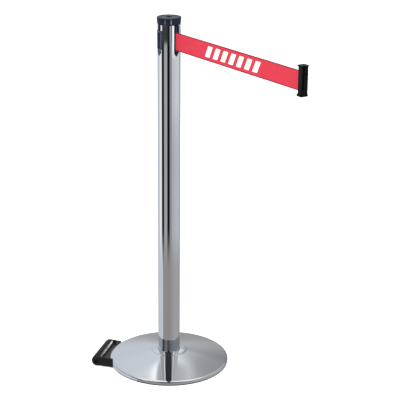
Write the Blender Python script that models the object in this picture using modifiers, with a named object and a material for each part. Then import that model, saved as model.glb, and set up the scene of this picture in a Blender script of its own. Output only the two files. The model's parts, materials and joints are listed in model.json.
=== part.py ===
"""A retractable belt stanchion: a weighted base with a tipping roller, a chrome post, and a belt head.

The head holds a spring-driven reel, one belt with its end clip, and three receivers for other belts.
Lengths below are in millimetres and MM turns them into Blender's metres. +Z is up, +X is the way the belt
pulls out, and the origin is on the floor at the post's axis.
"""

import math

import bmesh
import bpy
from mathutils import Matrix

MM = 0.001
GAP = 0.3

# Overall sizes
TOTAL_HEIGHT = 1016.0
BASE_RADIUS = 171.5
POST_RADIUS = 31.75
POST_WALL = 1.5
POST_TOP = 997.0
BELT_WIDTH = 50.0
BELT_MID = 953.8
BELT_THICK = 0.6

# Base
PAD_THICK = 3.2
RIM_TOP = 12.4
HUB_RADIUS = 51.0
HUB_RISE = 1.4
FOOT_HEIGHT = 39.2
COVER_SHEET = 1.2
COVER_SLOPE_TOP = 35.3
COVER_BULGE = 1.0
SOCKET_FLOOR = 30.0
BOLT_RADIUS = 6.0
BOLT_HEAD_TOP = 12.3
WASHER_TOP = 14.2
COUNTERBORE_TOP = 14.5
COUNTERBORE_RADIUS = 16.0
PLUG_HEIGHT = 28.0

# Tipping roller, in a frame whose +X is radial and whose +Y is along the roller. The roller's middle lies
# beside the X axis, so its bracket has one long cheek, one short cheek, and an ear past the short one.
ROLLER_AZIMUTH = 220.0
ROLLER_REACH = 190.0
ROLLER_OFFSET = 39.0
ROLLER_HEIGHT = 16.3
ROLLER_RADIUS = 15.2
ROLLER_HALF = 57.0
CHEEK_RADIUS = 14.2
CHEEK_INNER = 58.4
CHEEK_THICK = 4.0
BRACKET_BACK = 130.0
BRACKET_FACE = 174.0
BRACKET_LOW = 2.6
BRACKET_TOP = 16.0
EAR_END = -50.0
EAR_FACE = 182.5
ROLLER_AXLE_RADIUS = 4.0
BRACKET_SCREW_OFFSETS = (-37.0, 58.0)
BRACKET_SCREW_HEIGHT = 7.2

# Slots in the post's top, and the pieces that fill them
SLOT_HALF = 6.4
SLOT_SHOULDER = 921.0
SLOT_TIP = 913.0
OUTLET_CENTRE = 2.8
LINER_TOP = 996.5
LINER_WALL = 1.1
LINER_BACK = 24.8
PLATE_INNER = POST_RADIUS + GAP
PLATE_OUTER = 33.2
PLATE_FLAT = 32.8
PLATE_HALF = 11.5
PLATE_LOW = 928.7
PLATE_TOP = 981.7
CROSSBAR = 5.2
CHANNEL_FLOOR = 925.0
RECEIVER_AZIMUTHS = {"receiver_right": 90.0, "receiver_back": 180.0, "receiver_left": 270.0}

# Reel inside the head
CASSETTE_RADIUS = 29.6
FLOOR_LOW = 921.5
FLOOR_TOP = 924.5
LID_LOW = 984.0
LID_TOP = 987.5
LID_BOSS_TOP = 993.0
SPOOL_LOW = 926.2
SPOOL_TOP = 981.6
SPOOL_FLANGE = 1.7
SPOOL_FLANGE_RADIUS = 23.7
DRUM_RADIUS = 7.7
COIL_RADIUS = 22.0
AXLE_RADIUS = 3.0
BUSH_RADIUS = 4.3
ARBOR_RADIUS = 6.5
BARREL_LOW = 884.0
BARREL_TOP = 911.0
BARREL_RADIUS = 24.0
BARREL_WALL = 1.2
SPRING_TURNS = 7
TIE_RING = 26.8
TIE_RADIUS = 1.2
GUIDE_X = 28.6
GUIDE_RADIUS = 3.2
GUIDE_TRACK = GUIDE_RADIUS + 0.35 + BELT_THICK / 2
GUIDE_PIN_RADIUS = 1.3

# Cap
CAP_RADIUS = 33.6
CAP_LOW = POST_TOP + GAP
CAP_PLUG_LOW = 991.0
CAP_PLUG_RADIUS = 29.9
DISC_RADIUS = 23.6

# End clip on the belt
CLIP_INNER = 566.5
CLIP_OUTER = 581.0
CLIP_HALF = 9.3
CLIP_LOW = 918.0
CLIP_TOP = 994.0
FLANGE = 4.0
RIDGE_HALF = 4.6
RIDGE_REACH = 4.5
HOOK_REACH = 5.0
TONGUE_REACH = 8.5
PIN_X = CLIP_INNER + 6.7
PIN_RADIUS = 2.0

FLIP_DOWN = Matrix.Rotation(math.radians(-90), 4, "X")  # local +Z becomes +Y
# An outline in YZ, thick along X
STAND_ACROSS = Matrix(((0, 0, 1, 0), (1, 0, 0, 0), (0, 1, 0, 0), (0, 0, 0, 1)))
# An outline in XZ, thick along -Y
STAND_ALONG = Matrix.Rotation(math.radians(90), 4, "X")


# Tools ----------------------------------------------------------------------------------------------------


def clear_scene():
    for obj in list(bpy.data.objects):
        bpy.data.objects.remove(obj, do_unlink=True)


def new_collection(name):
    made = bpy.data.collections.new(name)
    bpy.context.scene.collection.children.link(made)
    return made


def new_material(name, colour, roughness, metallic=0.0):
    made = bpy.data.materials.new(name)
    made.use_nodes = True
    shader = made.node_tree.nodes["Principled BSDF"]
    shader.inputs["Base Color"].default_value = (*colour, 1.0)
    shader.inputs["Roughness"].default_value = roughness
    shader.inputs["Metallic"].default_value = metallic
    made.diffuse_color = (*colour, 1.0)
    return made


def add_object(name, data, finish, place):
    """Links an object made of this data: a part if it has a finish, and otherwise a hidden tool."""
    obj = bpy.data.objects.new(name, data)
    obj.matrix_world = place
    if finish:
        PARTS.objects.link(obj)
        data.materials.append(finish)
    else:
        TOOLS.objects.link(obj)
        obj.hide_render = True
        obj.display_type = "WIRE"
    return obj


def shift(x=0.0, y=0.0, z=0.0):
    return Matrix.Translation((x * MM, y * MM, z * MM))


def turn(degrees, axis="Z"):
    return Matrix.Rotation(math.radians(degrees), 4, axis)


def arc(centre, radius, start, end, steps):
    """Points on an arc in the plane, from one angle to another in degrees."""
    angles = [math.radians(start + (end - start) * i / steps) for i in range(steps + 1)]
    return [(centre[0] + radius * math.cos(a), centre[1] + radius * math.sin(a)) for a in angles]


def turned(name, profile, finish=None, ring=False, steps=48, place=Matrix()):
    """Turns (radius, height) pairs about the local Z. They run down the outer side, and a ring's close up."""
    mesh = bpy.data.meshes.new(name)
    edges = [(i, i + 1) for i in range(len(profile) - 1)]
    if ring:
        edges.append((len(profile) - 1, 0))
    mesh.from_pydata([(r * MM, 0, z * MM) for r, z in profile], edges, [])
    obj = add_object(name, mesh, finish, place)
    screw = obj.modifiers.new("turn", "SCREW")
    screw.axis = "Z"
    screw.steps = screw.render_steps = steps
    screw.use_merge_vertices = True
    screw.merge_threshold = 0.00001
    screw.use_smooth_shade = True
    return obj


def sleeve(name, inner, outer, low, high, finish=None, steps=20, place=Matrix()):
    profile = [(outer, high), (outer, low), (inner, low), (inner, high)]
    return turned(name, profile, finish, ring=True, steps=steps, place=place)


def rod(name, radius, low, high, finish=None, sides=20, place=Matrix()):
    """A cylinder along the local Z."""
    mesh = bpy.data.meshes.new(name)
    shape = bmesh.new()
    middle = Matrix.Translation((0, 0, (low + high) / 2 * MM))
    bmesh.ops.create_cone(
        shape,
        cap_ends=True,
        segments=sides,
        radius1=radius * MM,
        radius2=radius * MM,
        depth=(high - low) * MM,
        matrix=middle,
    )
    shape.to_mesh(mesh)
    shape.free()
    return add_object(name, mesh, finish, place)


def block(name, low, high, finish=None, place=Matrix()):
    """A box between two corners."""
    mesh = bpy.data.meshes.new(name)
    shape = bmesh.new()
    middle = Matrix.Translation([(a + b) / 2 * MM for a, b in zip(low, high)])
    size = Matrix.Diagonal([(b - a) * MM for a, b in zip(low, high)] + [1.0])
    bmesh.ops.create_cube(shape, size=1.0, matrix=middle @ size)
    shape.to_mesh(mesh)
    shape.free()
    return add_object(name, mesh, finish, place)


def as_mesh(curve, finish, place):
    """Replaces a curve object with a mesh one whose caps are welded on."""
    bpy.context.view_layer.update()
    mesh = bpy.data.meshes.new_from_object(curve.evaluated_get(bpy.context.evaluated_depsgraph_get()))
    shape = bmesh.new()
    shape.from_mesh(mesh)
    bmesh.ops.remove_doubles(shape, verts=shape.verts, dist=0.00001)
    bmesh.ops.recalc_face_normals(shape, faces=shape.faces)
    shape.to_mesh(mesh)
    shape.free()
    name = curve.name
    bpy.data.objects.remove(curve, do_unlink=True)
    mesh.materials.clear()
    return add_object(name, mesh, finish, place)


def slab(name, outline, low, high, finish=None, place=Matrix()):
    """A flat outline in the local XY plane, thick from one local height to the other."""
    curve = bpy.data.curves.new(name, "CURVE")
    curve.dimensions = "2D"
    curve.fill_mode = "BOTH"
    curve.extrude = (high - low) / 2 * MM
    spline = curve.splines.new("POLY")
    spline.points.add(len(outline) - 1)
    for point, (x, y) in zip(spline.points, outline):
        point.co = (x * MM, y * MM, 0, 1)
    spline.use_cyclic_u = True
    flat = add_object(name, curve, None, Matrix())
    return as_mesh(flat, finish, place @ shift(z=(low + high) / 2))


def ribbon(name, path, thick, low, high, finish):
    """A strip of webbing or spring steel that stands on edge along a path in the XY plane."""
    curve = bpy.data.curves.new(name, "CURVE")
    curve.dimensions = "3D"
    curve.extrude = (high - low) / 2 * MM
    spline = curve.splines.new("POLY")
    spline.points.add(len(path) - 1)
    for point, (x, y) in zip(spline.points, path):
        point.co = (x * MM, y * MM, (low + high) / 2 * MM, 1)
    obj = add_object(name, curve, finish, Matrix())
    solid = obj.modifiers.new("thickness", "SOLIDIFY")
    solid.thickness = thick * MM
    solid.offset = 0.0
    return obj


def change(obj, other, operation):
    modifier = obj.modifiers.new(other.name, "BOOLEAN")
    modifier.operation = operation
    modifier.object = other
    return obj


def cut(obj, *others):
    for other in others:
        change(obj, other, "DIFFERENCE")
    return obj


def join(obj, *others):
    for other in others:
        change(obj, other, "UNION")
    return obj


def keep_common(obj, other):
    return change(obj, other, "INTERSECT")


# Base -----------------------------------------------------------------------------------------------------


def cover_profile():
    """The cover's outer side from the hole at the post's foot out to the lower edge of its rim.

    Its slope is a cone that bulges slightly in the middle.
    """
    corner = 3.0
    slope_low = RIM_TOP + 0.4
    slope = []
    for share in (0.0, 0.25, 0.5, 0.75, 1.0):
        radius = HUB_RADIUS + (BASE_RADIUS - corner - HUB_RADIUS) * share
        bulge = 4 * COVER_BULGE * share * (1 - share)
        slope.append((radius, COVER_SLOPE_TOP + (slope_low - COVER_SLOPE_TOP) * share + bulge))
    return [
        (POST_RADIUS + 0.45, FOOT_HEIGHT),
        (HUB_RADIUS - 1.0, COVER_SLOPE_TOP + HUB_RISE),
        *slope,
        *arc((BASE_RADIUS - corner, RIM_TOP - corner), corner, 70, 0, 3),
        (BASE_RADIUS, PAD_THICK + 0.4),
    ]


def bracket_screw_places():
    """Frames at the two screws that hold the roller's bracket, with local +Z pointing outwards."""
    outwards = turn(90, "Y")
    for offset in BRACKET_SCREW_OFFSETS:
        yield turn(ROLLER_AZIMUTH) @ shift(y=offset, z=BRACKET_SCREW_HEIGHT) @ outwards


def make_base():
    pad_edge = 1.6
    turned(
        "floor_pad",
        [(0, PAD_THICK), *arc((BASE_RADIUS - 1.0 - pad_edge, pad_edge), pad_edge, 90, -90, 4), (0, 0)],
        RUBBER,
        steps=72,
    )
    cover = turned("base_cover", cover_profile(), CHROME, steps=72)
    sheet = cover.modifiers.new("sheet", "SOLIDIFY")
    sheet.thickness = COVER_SHEET * MM
    sheet.offset = -1.0
    bolt_hole = BOLT_RADIUS + 0.4
    weight_low = PAD_THICK + GAP
    pocket_top = 9.0
    weight = turned(
        "base_weight",
        [
            (bolt_hole, SOCKET_FLOOR),
            (POST_RADIUS + 1.0, SOCKET_FLOOR),
            (POST_RADIUS + 1.0, FOOT_HEIGHT - 2.2),
            (HUB_RADIUS - 1.6, COVER_SLOPE_TOP + HUB_RISE - 1.8),
            (HUB_RADIUS - 0.6, COVER_SLOPE_TOP - 1.8),
            (BASE_RADIUS - 4.0, RIM_TOP - 1.6),
            (BASE_RADIUS - 2.0, RIM_TOP - 3.4),
            (BASE_RADIUS - 2.0, weight_low),
            (152.0, weight_low),
            (150.0, pocket_top),
            (58.0, pocket_top),
            (56.0, weight_low),
            (COUNTERBORE_RADIUS, weight_low),
            (COUNTERBORE_RADIUS, COUNTERBORE_TOP),
            (bolt_hole, COUNTERBORE_TOP),
        ],
        CAST_IRON,
        ring=True,
        steps=48,
    )
    for number, place in enumerate(bracket_screw_places()):
        drill = rod(f"bracket_drill_{number}", 2.3, 140, 190, sides=16, place=place)
        cut(cover, drill)
        cut(weight, drill)

    bolt = rod("base_bolt", BOLT_RADIUS, BOLT_HEAD_TOP - 1.0, 52.0, STEEL)
    join(bolt, rod("bolt_head", 10.4, 4.6, BOLT_HEAD_TOP, sides=6))
    sleeve("base_washer", BOLT_RADIUS + 0.4, 15.0, BOLT_HEAD_TOP + GAP, WASHER_TOP, STEEL, steps=24)
    post_low = SOCKET_FLOOR + 0.4
    plug_radius = POST_RADIUS - POST_WALL - 0.35
    sleeve("foot_plug", BOLT_RADIUS + 0.35, plug_radius, post_low, post_low + PLUG_HEIGHT, STEEL)


# Tipping roller -------------------------------------------------------------------------------------------


def make_bracket():
    """A moulding that hugs the rim, with a flat face along the roller and a cheek at each of its ends."""
    here = turn(ROLLER_AZIMUTH)
    outer = CHEEK_INNER + CHEEK_THICK
    body_low = (BRACKET_BACK, ROLLER_OFFSET - outer, BRACKET_LOW)
    body_high = (BRACKET_FACE, ROLLER_OFFSET + outer, BRACKET_TOP)
    bracket = block("roller_bracket", body_low, body_high, BLACK, here)
    ear_high = (EAR_FACE, ROLLER_OFFSET - CHEEK_INNER - 0.5, BRACKET_TOP)
    join(bracket, block("bracket_ear", (BRACKET_BACK, EAR_END, BRACKET_LOW), ear_high, place=here))
    cheek = [
        (BRACKET_BACK, 8.0),
        *arc((ROLLER_REACH, ROLLER_HEIGHT), CHEEK_RADIUS, -94, 92, 16),
        (BRACKET_BACK, 28.2),
    ]
    # An outline in XZ grows along -Y, so each cheek's own heights are its place in Y with the sign turned.
    for number, middle in enumerate((outer - CHEEK_THICK / 2, CHEEK_THICK / 2 - outer)):
        low = -ROLLER_OFFSET - middle - CHEEK_THICK / 2
        join(bracket, slab(f"cheek_{number}", cheek, low, low + CHEEK_THICK, place=here @ STAND_ALONG))
    rim = BASE_RADIUS + GAP + 0.1
    cut(bracket, rod("rim_clearance", rim, -10, 60, sides=144))
    axis = here @ shift(x=ROLLER_REACH, y=ROLLER_OFFSET, z=ROLLER_HEIGHT) @ FLIP_DOWN
    cut(bracket, rod("axle_drill", ROLLER_AXLE_RADIUS + GAP, -90, 90, place=axis))
    for number, place in enumerate(bracket_screw_places()):
        cut(bracket, rod(f"bracket_screw_way_{number}", 2.3, 140, 190, sides=16, place=place))
        cut(bracket, rod(f"bracket_screw_seat_{number}", 3.6, BRACKET_FACE, 190, sides=16, place=place))
        screw = rod(f"bracket_screw_{number + 1}", 2.0, 146.0, BRACKET_FACE + 0.8, STEEL, 16, place)
        head_low = BRACKET_FACE + GAP
        join(screw, rod(f"bracket_screw_head_{number}", 3.2, head_low, head_low + 1.0, sides=16, place=place))
    return axis


def make_roller():
    axis = make_bracket()
    bore = 10.0
    edge = 1.0
    profile = [
        (bore, ROLLER_HALF),
        (ROLLER_RADIUS - edge, ROLLER_HALF),
        *arc((ROLLER_RADIUS - edge, ROLLER_HALF - edge), edge, 60, 0, 2),
        *arc((ROLLER_RADIUS - edge, edge - ROLLER_HALF), edge, 0, -60, 2),
        (ROLLER_RADIUS - edge, -ROLLER_HALF),
        (bore, -ROLLER_HALF),
    ]
    turned("roller_tyre", profile, RUBBER, ring=True, steps=32, place=axis)
    axle_half = CHEEK_INNER + CHEEK_THICK + 3.0
    rod("roller_axle", ROLLER_AXLE_RADIUS, -axle_half, axle_half, STEEL, place=axis)
    for number, side in enumerate((-1, 1)):
        ends = axis if side > 0 else axis @ turn(180, "X")
        hub = [
            (ROLLER_RADIUS - 3.0, ROLLER_HALF + 1.1),
            (ROLLER_RADIUS - 3.0, ROLLER_HALF + GAP),
            (bore - GAP, ROLLER_HALF + GAP),
            (bore - GAP, ROLLER_HALF - 14),
            (ROLLER_AXLE_RADIUS + 0.3, ROLLER_HALF - 14),
            (ROLLER_AXLE_RADIUS + 0.3, ROLLER_HALF + 1.1),
        ]
        turned(f"roller_hub_{number + 1}", hub, BLACK, ring=True, steps=20, place=ends)
        name = f"axle_clip_{number + 1}"
        clip_low = CHEEK_INNER + CHEEK_THICK + GAP
        sleeve(name, ROLLER_AXLE_RADIUS + GAP, 6.8, clip_low, clip_low + 1.6, STEEL, place=ends)


# Post -----------------------------------------------------------------------------------------------------


def slot_outline(half, shoulder, tip, top, centre=0.0):
    """A slot that is open at the top and ends below in a point."""
    return [
        (centre - half, top),
        (centre - half, shoulder),
        (centre, tip),
        (centre + half, shoulder),
        (centre + half, top),
    ]


def make_post():
    post = sleeve(
        "post_tube", POST_RADIUS - POST_WALL, POST_RADIUS, SOCKET_FLOOR + 0.4, POST_TOP, CHROME, steps=64
    )
    for azimuth in RECEIVER_AZIMUTHS.values():
        outline = slot_outline(SLOT_HALF, SLOT_SHOULDER, SLOT_TIP, POST_TOP + 10)
        cut(post, slab(f"slot_{azimuth:.0f}", outline, 20, 40, place=turn(azimuth) @ STAND_ACROSS))
    outline = slot_outline(SLOT_HALF, SLOT_SHOULDER, SLOT_TIP, POST_TOP + 10, OUTLET_CENTRE)
    cut(post, slab("slot_outlet", outline, 20, 40, place=STAND_ACROSS))


# Head: receivers and belt outlet --------------------------------------------------------------------------


def liner(name, finish, place, centre=0.0):
    """The part of a receiver or outlet that fills its slot in the post."""
    outline = slot_outline(SLOT_HALF - GAP, SLOT_SHOULDER + 0.15, SLOT_TIP + 0.5, LINER_TOP, centre)
    made = slab(name, outline, LINER_BACK, 32.5, finish, place @ STAND_ACROSS)
    front = block(f"{name}_front", (31.2, -30, PLATE_TOP), (40, 30, 1010), place=place)
    return cut(made, front)


def curved_plate(name, outline, place):
    """An outline that hugs the post, with its middle flattened."""
    plate = slab(name, outline, 20, 40, place=place @ STAND_ACROSS)
    shell = sleeve(f"{name}_shell", PLATE_INNER, PLATE_OUTER, 900, 1000, steps=96, place=place)
    keep_common(plate, shell)
    return cut(plate, block(f"{name}_flat", (PLATE_FLAT, -20, 900), (45, 20, 1000), place=place))


def make_receiver(name, azimuth):
    place = turn(azimuth)
    receiver = liner(name, BLACK, place)
    corner = 4.4
    arrow_half = 9.0
    half_outline = [
        (0, PLATE_TOP),
        (PLATE_HALF, PLATE_TOP),
        (PLATE_HALF, PLATE_LOW + corner),
        (PLATE_HALF - corner, PLATE_LOW),
        (SLOT_HALF, PLATE_LOW),
        (SLOT_HALF, PLATE_LOW - 4.0),
        (arrow_half, PLATE_LOW - 5.2),
        (0, SLOT_TIP - 0.8),
    ]
    outline = half_outline + [(-y, z) for y, z in half_outline[-2:0:-1]]
    join(receiver, curved_plate(f"{name}_plate", outline, place))
    inside = SLOT_HALF - GAP - LINER_WALL
    channel = (LINER_BACK + 1.2, -inside, CHANNEL_FLOOR), (45, inside, LINER_TOP + 5)
    cut(receiver, block(f"{name}_channel", *channel, place=place))
    bar_back = PLATE_FLAT - 2.1
    crossbar = (bar_back, -inside - 0.5, PLATE_TOP - CROSSBAR), (PLATE_FLAT, inside + 0.5, PLATE_TOP)
    join(receiver, block(f"{name}_crossbar", *crossbar, place=place))
    sill = (bar_back, -inside - 0.5, SLOT_SHOULDER), (PLATE_FLAT, inside + 0.5, PLATE_LOW + 3.3)
    join(receiver, block(f"{name}_sill", *sill, place=place))


def make_outlet():
    outlet = liner("belt_outlet", BLACK, Matrix(), OUTLET_CENTRE)
    inside = SLOT_HALF - GAP - LINER_WALL
    low = OUTLET_CENTRE - inside
    high = OUTLET_CENTRE + inside
    lip = 12.4
    outline = [
        (low - 1.8, LINER_TOP),
        (low - 1.8, SLOT_SHOULDER),
        (OUTLET_CENTRE - 1.5, SLOT_TIP - 0.6),
        (OUTLET_CENTRE + 0.5, SLOT_TIP - 0.6),
        (lip, SLOT_SHOULDER + 2.5),
        (lip, LINER_TOP - 2.5),
        (lip - 2.5, LINER_TOP),
    ]
    join(outlet, curved_plate("outlet_plate", outline, Matrix()))
    bridge_low = 992.5
    cut(outlet, block("outlet_way", (20, low, CHANNEL_FLOOR), (45, high, bridge_low)))
    pin = shift(GUIDE_X, GUIDE_TRACK)
    cut(outlet, rod("guide_pin_drill", GUIDE_PIN_RADIUS + GAP, 917.5, 1000, sides=16, place=pin))
    rod("guide_pin", GUIDE_PIN_RADIUS, 918.0, LINER_TOP - GAP, STEEL, 16, pin)
    sleeve(
        "guide_roller",
        GUIDE_PIN_RADIUS + 0.25,
        GUIDE_RADIUS,
        CHANNEL_FLOOR + 0.6,
        bridge_low - 0.6,
        NYLON,
        place=pin,
    )


# Head: the reel -------------------------------------------------------------------------------------------


def tie_places():
    return [turn(azimuth) @ shift(x=TIE_RING) for azimuth in (45, 135, 225, 315)]


def notch_for_liners(obj, low, high):
    """Cuts a disc clear of the four liners that reach in from the post's slots."""
    for azimuth in (90, 180, 270):
        tool = (LINER_BACK - 0.6, -SLOT_HALF - 0.3, low), (40, SLOT_HALF + 0.3, high)
        cut(obj, block(f"{obj.name}_notch_{azimuth}", *tool, place=turn(azimuth)))
    half = SLOT_HALF + 0.3
    tool = (LINER_BACK - 0.6, OUTLET_CENTRE - half, low), (40, OUTLET_CENTRE + half, high)
    return cut(obj, block(f"{obj.name}_notch_outlet", *tool))


def make_cassette():
    """The floor with its four pillars, the lid, and the screws that tie them to the spring's barrel."""
    bore = ARBOR_RADIUS + 0.4
    floor = sleeve("cassette_floor", bore, CASSETTE_RADIUS, FLOOR_LOW, FLOOR_TOP, BLACK, steps=48)
    for number, place in enumerate(tie_places()):
        join(floor, rod(f"pillar_{number}", 2.7, FLOOR_LOW + 0.5, LID_LOW - GAP, sides=12, place=place))
    notch_for_liners(floor, FLOOR_LOW - 5, FLOOR_TOP + 5)
    lid_profile = [
        (8.0, LID_BOSS_TOP),
        (8.0, LID_TOP),
        (CASSETTE_RADIUS, LID_TOP),
        (CASSETTE_RADIUS, LID_LOW),
        (AXLE_RADIUS + GAP, LID_LOW),
        (AXLE_RADIUS + GAP, LID_LOW + 2.3),
        (2.35, LID_LOW + 2.3),
        (2.35, LID_BOSS_TOP),
    ]
    lid = turned("cassette_lid", lid_profile, BLACK, ring=True, steps=32)
    notch_for_liners(lid, LID_LOW - 5, LID_BOSS_TOP + 5)
    barrel_profile = [
        (BARREL_RADIUS, BARREL_TOP),
        (BARREL_RADIUS, BARREL_LOW + 3.0),
        (CASSETTE_RADIUS, BARREL_LOW + 3.0),
        (CASSETTE_RADIUS, BARREL_LOW),
        (AXLE_RADIUS + GAP, BARREL_LOW),
        (AXLE_RADIUS + GAP, BARREL_LOW + 2.4),
        (BARREL_RADIUS - BARREL_WALL, BARREL_LOW + 2.4),
        (BARREL_RADIUS - BARREL_WALL, BARREL_TOP),
    ]
    barrel = turned("spring_barrel", barrel_profile, BLACK, ring=True, steps=32)
    for number, place in enumerate(tie_places()):
        drill = rod(f"tie_drill_{number}", TIE_RADIUS + GAP, 870, 1000, sides=12, place=place)
        for piece in (floor, lid, barrel):
            cut(piece, drill)
        screw = rod(f"tie_screw_{number + 1}", TIE_RADIUS, BARREL_LOW - 1.5, LID_TOP + 1.0, STEEL, 12, place)
        head = rod(f"tie_head_{number}", 2.3, LID_TOP + GAP, LID_TOP + 2.3, sides=12, place=place)
        join(screw, head)
    sleeve(
        "barrel_lid",
        ARBOR_RADIUS + 0.4,
        BARREL_RADIUS - BARREL_WALL - GAP,
        BARREL_TOP - 2.2,
        BARREL_TOP - 0.4,
        BLACK,
        steps=28,
    )


def make_reel():
    bush_long = 9.0
    bore = AXLE_RADIUS + 0.5
    seat = BUSH_RADIUS + GAP
    arbor_low = BARREL_LOW + 3.2
    profile = [
        (SPOOL_FLANGE_RADIUS, SPOOL_TOP),
        (SPOOL_FLANGE_RADIUS, SPOOL_TOP - SPOOL_FLANGE),
        (DRUM_RADIUS, SPOOL_TOP - SPOOL_FLANGE),
        (DRUM_RADIUS, SPOOL_LOW + SPOOL_FLANGE),
        (SPOOL_FLANGE_RADIUS, SPOOL_LOW + SPOOL_FLANGE),
        (SPOOL_FLANGE_RADIUS, SPOOL_LOW),
        (ARBOR_RADIUS, SPOOL_LOW),
        (ARBOR_RADIUS, arbor_low),
        (seat, arbor_low),
        (seat, arbor_low + bush_long + GAP),
        (bore, arbor_low + bush_long + GAP),
        (bore, SPOOL_TOP - bush_long - GAP),
        (seat, SPOOL_TOP - bush_long - GAP),
        (seat, SPOOL_TOP),
    ]
    turned("spool", profile, NYLON, ring=True, steps=28)
    rod("spool_axle", AXLE_RADIUS, BARREL_LOW + 0.2, LID_LOW + 2.0, STEEL)
    sleeve("spool_bush_lower", AXLE_RADIUS + 0.3, BUSH_RADIUS, arbor_low, arbor_low + bush_long, BRASS)
    sleeve("spool_bush_upper", AXLE_RADIUS + 0.3, BUSH_RADIUS, SPOOL_TOP - bush_long, SPOOL_TOP, BRASS)
    half = BELT_WIDTH / 2
    sleeve("belt_coil", DRUM_RADIUS + GAP, COIL_RADIUS, BELT_MID - half, BELT_MID + half, WEBBING, steps=36)

    inner = ARBOR_RADIUS + 0.8
    outer = BARREL_RADIUS - BARREL_WALL - 0.7
    steps = 12 * SPRING_TURNS
    spiral = []
    for i in range(steps + 1):
        radius = inner + (outer - inner) * i / steps
        angle = 2 * math.pi * SPRING_TURNS * i / steps
        spiral.append((radius * math.cos(angle), radius * math.sin(angle)))
    ribbon("power_spring", spiral, 0.4, BARREL_LOW + 3.2, BARREL_TOP - 3.0, STEEL)


# Cap ------------------------------------------------------------------------------------------------------


def make_cap():
    edge = 1.0
    recess = TOTAL_HEIGHT - 1.5
    crown_low = 1009.0
    well = 1010.6
    profile = [
        (5.2, recess),
        (DISC_RADIUS + 0.4, recess),
        (DISC_RADIUS + 0.4, TOTAL_HEIGHT),
        *arc((CAP_RADIUS - edge, TOTAL_HEIGHT - edge), edge, 90, 0, 2),
        (32.4, CAP_LOW + 3.0),
        (31.7, CAP_LOW),
        (CAP_PLUG_RADIUS, CAP_LOW),
        (CAP_PLUG_RADIUS, CAP_PLUG_LOW),
        (27.5, CAP_PLUG_LOW),
        (27.5, crown_low),
        (5.0, crown_low),
        (5.0, LID_BOSS_TOP + GAP),
        (2.35, LID_BOSS_TOP + GAP),
        (2.35, well),
        (5.2, well),
    ]
    cap = turned("head_cap", profile, BLACK, ring=True, steps=48)
    notch_for_liners(cap, CAP_PLUG_LOW - 5, POST_TOP)
    sleeve("cap_disc", 8.6, DISC_RADIUS, recess + GAP, TOTAL_HEIGHT - 0.3, GREY, steps=40)
    screw = rod("cap_screw", 2.0, LID_LOW + 2.8, well + 1.0, STEEL, 16)
    join(screw, rod("cap_screw_head", 4.6, well + GAP, recess - 0.6, sides=20))


# Belt and its end clip ------------------------------------------------------------------------------------


def make_belt():
    """The drawn-out webbing: off the coil, round the guide roller, straight out, and round the clip's pin."""
    coil_track = COIL_RADIUS + GAP + BELT_THICK / 2
    guide = (GUIDE_X, GUIDE_TRACK)
    bearing = math.degrees(math.atan2(guide[1], guide[0]))
    crossing = math.degrees(math.acos((coil_track + GUIDE_TRACK) / math.hypot(*guide)))
    leaves = bearing + crossing
    pin = (PIN_X, 0.0)
    pin_track = PIN_RADIUS + GAP + BELT_THICK / 2
    path = arc((0, 0), coil_track, leaves + 24, leaves, 4)
    path += arc(guide, GUIDE_TRACK, leaves + 180, 270, 8)
    path += [(PIN_X - 6.5, 0.0)]
    path += arc(pin, pin_track, 150, -140, 18)
    half = BELT_WIDTH / 2
    ribbon("belt_webbing", path, BELT_THICK, BELT_MID - half, BELT_MID + half, WEBBING)


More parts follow.
